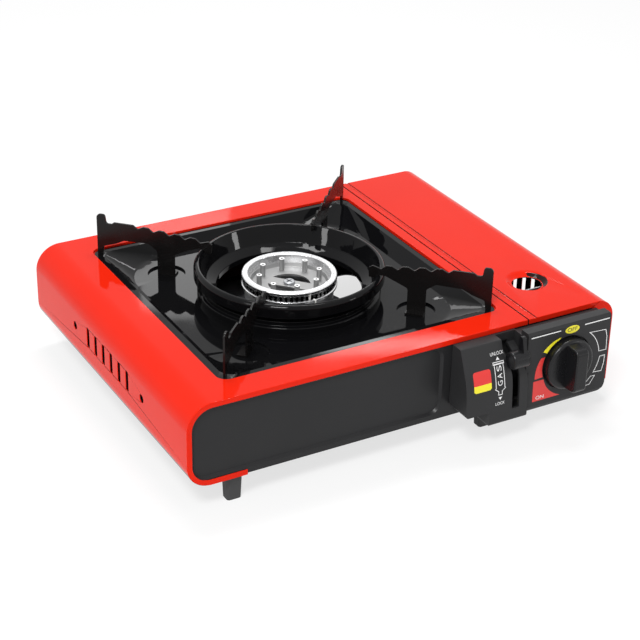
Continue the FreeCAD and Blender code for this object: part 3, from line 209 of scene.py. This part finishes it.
def inner_side_shade_mask(tree, axis, sign, below):
    """1 on a sheet's inside, where the colour gets painted shade.

    Those are faces that look down, that look up from near the floor, and that look one way along
    an axis below a height.
    """
    place = tree.nodes.new("ShaderNodeTexCoord")
    facing = tree.nodes.new("ShaderNodeSeparateXYZ")
    tree.links.new(place.outputs["Normal"], facing.inputs[0])
    parts = tree.nodes.new("ShaderNodeSeparateXYZ")
    tree.links.new(place.outputs["Object"], parts.inputs[0])
    down = maths(tree, "LESS_THAN", facing.outputs["Z"], -FACING)
    side = maths(tree, "MULTIPLY", facing.outputs[axis], float(sign))
    side = maths(tree, "GREATER_THAN", side, FACING)
    under = maths(tree, "LESS_THAN", parts.outputs["Z"], below / 1000)
    side = maths(tree, "MULTIPLY", side, under)
    up = maths(tree, "GREATER_THAN", facing.outputs["Z"], FACING)
    low = maths(tree, "LESS_THAN", parts.outputs["Z"], LOW_SIDE / 1000)
    up = maths(tree, "MULTIPLY", up, low)
    behind = maths(tree, "GREATER_THAN", parts.outputs["Y"], at(0, BEHIND_FRONT, 0).y)
    up = maths(tree, "MULTIPLY", up, behind)
    return maths(tree, "MAXIMUM", maths(tree, "MAXIMUM", down, side), up)


def red_enamel(name, axis, sign, below):
    """Glossy red coat outside, painted shade in near black on the inside faces."""
    material = surface(
        name, (0.72, 0.018, 0.004), (0.66, 0.014, 0.003), (0.05, 0.08),
        ior=1.18, grain=500.0, bump=0.015
    )
    inside = inner_side_shade_mask(material.node_tree, axis, sign, below)
    # Painted shade: the sheets' inside faces are near black
    add_mask(material, inside, (0.02, 0.008, 0.007))
    return material


red = red_enamel("red_enamel", "X", 1, SHELL_TOP - 4)
lid_red = red_enamel("lid_red", "X", -1, SHELL_TOP)
back_red = red_enamel("back_red", "Y", -1, SHELL_TOP)
black_paint = surface(
    "black_paint", (0.02, 0.02, 0.021), (0.016, 0.016, 0.017), (0.3, 0.4), ior=1.28, grain=1600.0
)
enamel = surface(
    "black_enamel", (0.003, 0.003, 0.004), (0.005, 0.005, 0.005), (0.03, 0.06),
    ior=1.22, grain=160.0, bump=0.03
)
support_enamel = surface(
    "support_enamel", (0.008, 0.007, 0.007), (0.004, 0.004, 0.004), (0.14, 0.3),
    ior=1.3, grain=700.0, bump=0.2
)
plastic = surface(
    "dark_plastic", (0.024, 0.024, 0.025), (0.019, 0.019, 0.02), (0.4, 0.5),
    ior=1.3, grain=2500.0, bump=0.15
)
knob_black = surface(
    "knob_plastic", (0.008, 0.008, 0.009), (0.006, 0.006, 0.007), (0.24, 0.32),
    ior=1.35, grain=2500.0, bump=0.1
)
rubber = surface(
    "rubber", (0.045, 0.045, 0.046), (0.035, 0.035, 0.036), (0.6, 0.75), grain=1500.0, bump=0.2
)
casting = surface(
    "cast_aluminium", (0.46, 0.46, 0.47), (0.34, 0.34, 0.35), (0.4, 0.55),
    metallic=1.0, grain=1400.0, bump=0.25, depth=0.00005
)
deck_metal = surface(
    "deck_aluminium", (0.4, 0.4, 0.4), (0.33, 0.33, 0.33), (0.5, 0.62),
    metallic=1.0, grain=1400.0, bump=0.2, depth=0.00005
)
post_tops = ring_mask(deck_metal.node_tree, 18.0, 27.0, RING_TOP - 0.1, RING_TOP + 1.0)
add_mask(deck_metal, post_tops, (0.95, 0.95, 0.95))
machined = brushed(
    "machined_aluminium", (0.88, 0.88, 0.89), (0.76, 0.76, 0.77), (0.18, 0.3), (1, 1, 6)
)
# Painted shade: the walls inside the ring's flame slots are near black
slot_shade = ring_mask(machined.node_tree, 31.0, 33.4, RING_TOP - 7.3, RING_TOP - 3.2)
add_mask(machined, slot_shade, (0.006, 0.006, 0.006))
zinc = brushed("zinc_steel", (0.5, 0.51, 0.53), (0.38, 0.39, 0.41), (0.3, 0.45), (1, 8, 1))
# Painted shade: a darker copy of the zinc steel, for the parts inside the casing
dull_shaded_steel = brushed(
    "dull_shaded_steel", (0.09, 0.09, 0.095), (0.05, 0.05, 0.055), (0.5, 0.7), (1, 8, 1)
)
brass = surface("brass", (0.75, 0.55, 0.25), (0.68, 0.5, 0.22), (0.25, 0.35), metallic=1.0)
igniter_white = surface("igniter_plastic", (0.7, 0.7, 0.68), (0.62, 0.62, 0.6), (0.4, 0.5))
ceramic = surface(
    "ceramic", (0.86, 0.85, 0.82), (0.8, 0.79, 0.76), (0.25, 0.4), grain=1200.0, bump=0.1
)
print_white = surface("print_white", (0.85, 0.85, 0.85), (0.78, 0.78, 0.78), (0.4, 0.5))
print_yellow = surface("print_yellow", (0.85, 0.76, 0.02), (0.8, 0.7, 0.015), (0.35, 0.45))
print_red = surface("print_red", (0.72, 0.03, 0.025), (0.66, 0.025, 0.02), (0.35, 0.45))
print_black = surface("print_black", (0.02, 0.02, 0.02), (0.015, 0.015, 0.015), (0.4, 0.5))

SLOT_MATERIALS = {
    "red_enamel": red,
    "black_paint": black_paint,
    "black_enamel": enamel,
    "dark_plastic": plastic,
    "knob_plastic": knob_black,
    "igniter_plastic": igniter_white,
    "cast_aluminium": casting,
    "zinc_steel": zinc,
    "brass": brass,
    "rubber": rubber,
    "ceramic": ceramic,
}
NODE_MATERIALS = {
    "burner_ring": machined,
    "canister_lid": lid_red,
    "back_panel": back_red,
    # Parts inside the casing get the darkened steel, as painted shade
    "burner_seat": dull_shaded_steel,
    "base_plate": dull_shaded_steel,
    "bay_partition": dull_shaded_steel,
    "mixing_tube": dull_shaded_steel,
    "lever_bracket": dull_shaded_steel,
    "burner_deck": deck_metal,
}


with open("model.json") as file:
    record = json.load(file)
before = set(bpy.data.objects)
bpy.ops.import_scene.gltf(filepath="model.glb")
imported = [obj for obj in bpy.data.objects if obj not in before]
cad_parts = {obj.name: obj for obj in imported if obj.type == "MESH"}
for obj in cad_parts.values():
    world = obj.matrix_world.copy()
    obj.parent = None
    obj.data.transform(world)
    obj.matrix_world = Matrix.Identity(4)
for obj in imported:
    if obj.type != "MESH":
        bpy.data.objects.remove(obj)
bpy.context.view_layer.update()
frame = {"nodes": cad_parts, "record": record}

# The CAD pieces keep their shape and get their finish, softened edges and even shading
WELD_REACH = 0.000005
BEVEL_STEPS = 3
BEVEL_ANGLE = 35
SUPPORT_EDGE = 0.25
SOFT_EDGES = {
    "body_shell": 1.0,
    "canister_lid": 1.0,
    "drip_pan": 0.9,
    "front_panel": 0.6,
    "control_housing": 0.5,
    "control_knob": 0.3,
    "lever_handle": 0.4,
}


def soften(piece, width):
    """Joins the split vertices, rounds the edges a little and shades evenly."""
    weld = piece.modifiers.new("weld", "WELD")
    weld.merge_threshold = WELD_REACH
    bevel = piece.modifiers.new("bevel", "BEVEL")
    bevel.width = width / 1000
    bevel.segments = BEVEL_STEPS
    bevel.limit_method = "ANGLE"
    bevel.angle_limit = math.radians(BEVEL_ANGLE)
    bevel.harden_normals = False
    bevel.use_clamp_overlap = True
    normals = piece.modifiers.new("normals", "WEIGHTED_NORMAL")
    normals.keep_sharp = False
    normals.weight = 80
    for polygon in piece.data.polygons:
        polygon.use_smooth = True


for part in frame["record"]["subparts"]:
    node = part["node"]
    piece = frame["nodes"][node]
    finish = NODE_MATERIALS.get(node, SLOT_MATERIALS[part["material_slot"]])
    width = SOFT_EDGES.get(node, 0)
    if node.startswith("support"):
        finish = support_enamel
        width = SUPPORT_EDGE
    piece.data.materials.clear()
    piece.data.materials.append(finish)
    if width:
        soften(piece, width)

# A dark rubber strip closes the slit between the control housing's bottom wall and the front panel;
# it is painted shade, standing in for the dark seen through the lever slot

def make_slot_shade_strip():
    profile = []
    for i in range(SHADE_STRIP_STEPS + 1):
        angle = math.pi * i / SHADE_STRIP_STEPS
        y = SHADE_STRIP_MIDDLE - SHADE_STRIP_HALF_WIDTH * math.cos(angle)
        profile.append((y, SHADE_STRIP_LOW + SHADE_STRIP_RISE * math.sin(angle)))
    vertices = []
    for x in SHADE_STRIP_ENDS:
        for y, z in profile:
            vertices.append(at(x, y, z))
    count = len(profile)
    faces = [tuple(range(count))[::-1], tuple(range(count, 2 * count))]
    for i in range(count):
        following = (i + 1) % count
        faces.append((i, following, count + following, count + i))
    mesh = bpy.data.meshes.new("slot_shade_strip")
    mesh.from_pydata(vertices, [], faces)
    mesh.materials.append(rubber)
    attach(add_object("slot_shade_strip", mesh), "casing")


make_slot_shade_strip()

# Printed marks: flat shapes in the XZ plane, laid on the control housing's front

bpy.context.view_layer.update()
housing_surface = BVHTree.FromObject(
    frame["nodes"]["control_housing"], bpy.context.evaluated_depsgraph_get()
)


def on_housing(x, z, layer):
    """The point in front of the housing, seen from the front, by as many layers of ink."""
    hit = housing_surface.ray_cast(at(x, IN_FRONT, z), Vector((0, 1, 0)))[0]
    return Vector((hit.x, hit.y - layer * INK / 1000, hit.z))


def print_on_housing(name, mesh, finish, layer=1):
    """Lays a flat mesh, drawn with x and z in millimetres, on the housing."""
    work = bmesh.new()
    work.from_mesh(mesh)
    bmesh.ops.triangulate(work, faces=work.faces)
    while long_edges := [edge for edge in work.edges if edge.calc_length() > LONGEST_EDGE]:
        bmesh.ops.subdivide_edges(work, edges=long_edges, cuts=1)
        bmesh.ops.triangulate(work, faces=work.faces)
    for vertex in work.verts:
        vertex.co = on_housing(vertex.co.x, vertex.co.z, layer)
    work.to_mesh(mesh)
    work.free()
    mesh.name = name
    mesh.materials.clear()
    mesh.materials.append(finish)
    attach(add_object(name, mesh), "casing")


def print_shape(name, points, finish):
    """Filled outline from points (x, z)."""
    mesh = bpy.data.meshes.new(name)
    mesh.from_pydata([(x, 0, z) for x, z in points], [], [tuple(range(len(points)))])
    print_on_housing(name, mesh, finish)


def print_line(name, points, width, closed, finish):
    """Line of even width through points (x, z)."""
    count = len(points)
    sides = []
    for i in range(count):
        here = Vector(points[i])
        before = Vector(points[i - 1]) if closed or i else here
        after = Vector(points[(i + 1) % count]) if closed or i < count - 1 else here
        incoming = (here - before).normalized()
        leaving = (after - here).normalized()
        along = (incoming + leaving).normalized()
        across = Vector((-along.y, along.x))
        reach = width / 2
        if incoming.length and leaving.length:
            reach /= max(abs(across.dot(Vector((-incoming.y, incoming.x)))), 0.4)
        sides.append((here + across * reach, here - across * reach))
    vertices = []
    for left, right in sides:
        vertices.append((left.x, 0, left.y))
        vertices.append((right.x, 0, right.y))
    faces = []
    for i in range(count if closed else count - 1):
        following = (i + 1) % count
        faces.append((2 * i, 2 * i + 1, 2 * following + 1, 2 * following))
    mesh = bpy.data.meshes.new(name)
    mesh.from_pydata(vertices, [], faces)
    print_on_housing(name, mesh, finish)


def print_word(name, word, x, z, width, height, finish, turn=0.0, layer=1):
    """Word with its middle at (x, z), as wide and as high as given before it is turned."""
    curve = bpy.data.curves.new(name + "_letters", "FONT")
    curve.body = word
    letters = add_object(name + "_letters", curve)
    bpy.context.view_layer.update()
    mesh = bpy.data.meshes.new_from_object(letters)
    bpy.data.objects.remove(letters)
    us = [vertex.co.x for vertex in mesh.vertices]
    vs = [vertex.co.y for vertex in mesh.vertices]
    c = math.cos(math.radians(turn))
    s = math.sin(math.radians(turn))
    for vertex in mesh.vertices:
        u = ((vertex.co.x - min(us)) / (max(us) - min(us)) - 0.5) * width
        v = ((vertex.co.y - min(vs)) / (max(vs) - min(vs)) - 0.5) * height
        vertex.co = (x + u * c - v * s, 0, z + u * s + v * c)
    print_on_housing(name, mesh, finish, layer)


def around_knob(radius, degrees):
    angle = math.radians(degrees)
    return (KNOB_X + radius * math.cos(angle), KNOB_Z + radius * math.sin(angle))


def knob_arc(first, last, start, end, steps):
    """Points round the knob, from one radius and angle to another."""
    points = []
    for i in range(steps + 1):
        share = i / steps
        points.append(around_knob(first + (last - first) * share, start + (end - start) * share))
    return points


def dial_marks():
    """Flame wedges round the knob, the two top lines and the words at OFF and ON."""
    inner = DIAL_RADIUS
    low_flame = knob_arc(inner, inner, 112, 148, 8) + knob_arc(25.0, 22.2, 149, 108, 8)
    print_shape("mark_low_flame", low_flame, print_yellow)
    mid_flame = knob_arc(inner, inner, 156, 200, 8) + knob_arc(28.0, 24.3, 196, 160, 8)
    print_shape("mark_mid_flame", mid_flame, print_red)
    high_flame = knob_arc(inner, 26.0, 206, 263, 12) + [(259.6, 25.6), (259.2, 42.2)]
    print_shape("mark_high_flame", high_flame, print_red)
    right_marks = (
        knob_arc(26.2, 28.3, 46, 3, 8) + [(321.6, 52.8), (321.2, 63.5), (319.6, 69.4)],
        knob_arc(29.6, 29.2, -6, -31, 6) + [(319.4, 35.9), (320.8, 42.4), (321.0, 48.4)],
        knob_arc(29.2, 29.0, -38, -60, 6) + [(309.7, 27.2), (313.8, 33.4)],
    )
    for i, points in enumerate(right_marks):
        print_line("mark_outline_" + str(i), points, THIN_LINE, True, print_white)
    for side, ends in (("left", (254.4, 279.4)), ("right", (300.2, 322.0))):
        points = [(x, TOP_LINES_Z) for x in ends]
        print_line("mark_line_" + side, points, THICK_LINE, False, print_white)
    ellipse = []
    for i in range(32):
        angle = 2 * math.pi * i / 32
        ellipse.append((OFF_X + 6.1 * math.cos(angle), OFF_Z + 3.0 * math.sin(angle)))
    print_shape("mark_off_field", ellipse, print_yellow)
    print_word("mark_off", "OFF", OFF_X, OFF_Z, 8.4, 3.0, print_black, layer=2)
    print_word("mark_on", "ON", 265.8, 28.4, 6.8, 2.8, print_white, layer=2)


def lever_marks():
    """Cartridge symbol with its words and arrows, and the plain two-colour sticker."""
    x = LEVER_MARKS_X
    print_word("mark_unlock", "UNLOCK", x, 70.8, 10.8, 2.3, print_white)
    print_word("mark_lock", "LOCK", x, 35.4, 7.6, 2.3, print_white)
    print_shape("mark_arrow_up", [(x - 1.5, 66.4), (x + 1.5, 66.4), (x, 68.6)], print_white)
    print_shape("mark_arrow_down", [(x - 1.5, 40.2), (x, 38.0), (x + 1.5, 40.2)], print_white)
    cartridge = [
        (x - 3.6, 64.0), (x - 3.6, 47.4), (x - 4.2, 46.6), (x - 1.5, 44.6), (x - 1.5, 42.0),
        (x + 1.5, 42.0), (x + 1.5, 44.6), (x + 4.2, 46.6), (x + 3.6, 47.4), (x + 3.6, 64.0),
    ]
    print_line("mark_cartridge", cartridge, THIN_LINE, True, print_white)
    base = [(x - 4.3, 63.6), (x + 4.3, 63.6), (x + 4.3, 65.2), (x - 4.3, 65.2)]
    print_line("mark_cartridge_base", base, THIN_LINE, True, print_white)
    for i, letter in enumerate("GAS"):
        z = 50.6 + 5.1 * i
        print_word("mark_gas_" + letter, letter, x, z, 3.6, 3.9, print_white, turn=90.0)
    left = 207.4
    right = 221.8
    low = 47.6
    split = 52.6
    high = 62.2
    cut = 1.2
    upper = [
        (left, split), (right, split), (right, high - cut),
        (right - cut, high), (left + cut, high), (left, high - cut),
    ]
    lower = [
        (left, split), (left, low + cut), (left + cut, low),
        (right - cut, low), (right, low + cut), (right, split),
    ]
    print_shape("sticker_upper", upper, print_red)
    print_shape("sticker_lower", lower, print_yellow)


dial_marks()
lever_marks()

# Stage: floor, lights, world and camera

def white_where_seen(tree, lit, seen):
    """Shows one shader to camera, glossy and transmission rays and the other to the rest."""
    path = tree.nodes.new("ShaderNodeLightPath")
    rays = maths(tree, "MAXIMUM", path.outputs["Is Camera Ray"], path.outputs["Is Glossy Ray"])
    rays = maths(tree, "MAXIMUM", rays, path.outputs["Is Transmission Ray"])
    mix = tree.nodes.new("ShaderNodeMixShader")
    tree.links.new(rays, mix.inputs["Fac"])
    tree.links.new(lit, mix.inputs[1])
    tree.links.new(seen, mix.inputs[2])
    return mix.outputs[0]


def make_world():
    world = bpy.data.worlds.new("studio")
    bpy.context.scene.world = world
    world.use_nodes = True
    tree = world.node_tree
    tree.nodes.clear()
    lit = tree.nodes.new("ShaderNodeBackground")
    lit.inputs["Strength"].default_value = WORLD_STRENGTH
    seen = tree.nodes.new("ShaderNodeBackground")
    seen.inputs["Color"].default_value = (1, 1, 1, 1)
    seen.inputs["Strength"].default_value = 1.0
    output = tree.nodes.new("ShaderNodeOutputWorld")
    shown = white_where_seen(tree, lit.outputs[0], seen.outputs[0])
    tree.links.new(shown, output.inputs["Surface"])


def make_floor():
    mesh = bpy.data.meshes.new("floor")
    reach = 6.0
    corners = [(-reach, -reach, 0), (reach, -reach, 0), (reach, reach, 0), (-reach, reach, 0)]
    mesh.from_pydata(corners, [], [(0, 1, 2, 3)])
    floor = add_object("floor", mesh)
    material = bpy.data.materials.new("floor_white")
    material.use_nodes = True
    tree = material.node_tree
    tree.nodes.clear()
    lit = tree.nodes.new("ShaderNodeBsdfDiffuse")
    lit.inputs["Color"].default_value = (0.9, 0.9, 0.9, 1)
    glow = tree.nodes.new("ShaderNodeEmission")
    glow.inputs["Color"].default_value = (1, 1, 1, 1)
    seen = tree.nodes.new("ShaderNodeMixShader")
    seen.inputs["Fac"].default_value = FLOOR_GLOW
    tree.links.new(lit.outputs[0], seen.inputs[1])
    tree.links.new(glow.outputs[0], seen.inputs[2])
    output = tree.nodes.new("ShaderNodeOutputMaterial")
    shown = white_where_seen(tree, lit.outputs[0], seen.outputs[0])
    tree.links.new(shown, output.inputs["Surface"])
    mesh.materials.append(material)


# Name, place, aim, width and height in metres, and power; the small ones only add glints
LIGHTS = (
    ("key", (-0.9, -0.9, 1.6), (0, 0, 0.05), 0.5, 0.5, 26),
    ("top", (0.2, 0.5, 1.7), (0, 0, 0.05), 0.9, 0.3, 15),
    ("glint_right", (0.875, -0.817, 0.297), (-0.035, 0.08, 0.089), 0.16, 0.1, 1.0),
    ("glint_left", (-1.198, -0.28, 0.4), (0.024, 0.057, 0.089), 0.16, 0.1, 1.0),
    ("streak_back", (0.45, 1.22, 0.69), (-0.08, 0.09, 0.077), 0.14, 0.16, 0.2),
    ("streak_front", (0.667, 0.917, 0.754), (-0.005, -0.105, 0.082), 0.28, 0.03, 0.2),
)


def area_light(name, place, aim, width, height, power):
    lamp = bpy.data.lights.new(name, "AREA")
    lamp.shape = "RECTANGLE"
    lamp.size = width
    lamp.size_y = height
    lamp.energy = power
    light = add_object(name, lamp)
    light.location = place
    direction = Vector(aim) - Vector(place)
    light.rotation_euler = direction.to_track_quat("-Z", "Y").to_euler()


def make_camera():
    azimuth = math.radians(CAMERA_AZIMUTH)
    elevation = math.radians(CAMERA_ELEVATION)
    roll = math.radians(CAMERA_ROLL)
    back = Vector((
        math.sin(azimuth) * math.cos(elevation),
        -math.cos(azimuth) * math.cos(elevation),
        math.sin(elevation),
    ))
    level = (-back).cross(Vector((0, 0, 1))).normalized()
    upright = level.cross(-back)
    right = level * math.cos(roll) + upright * math.sin(roll)
    up = -level * math.sin(roll) + upright * math.cos(roll)
    lens = bpy.data.cameras.new("camera")
    lens.lens = CAMERA_LENS
    lens.sensor_width = CAMERA_SENSOR
    lens.clip_start = 0.05
    camera = add_object("camera", lens)
    turn = Matrix((right, up, back)).transposed().to_4x4()
    camera.matrix_world = Matrix.Translation(CAMERA_PLACE) @ turn
    bpy.context.scene.camera = camera


make_world()
make_floor()
for lamp in LIGHTS:
    area_light(*lamp)
make_camera()
bpy.context.scene.view_settings.view_transform = "Standard"
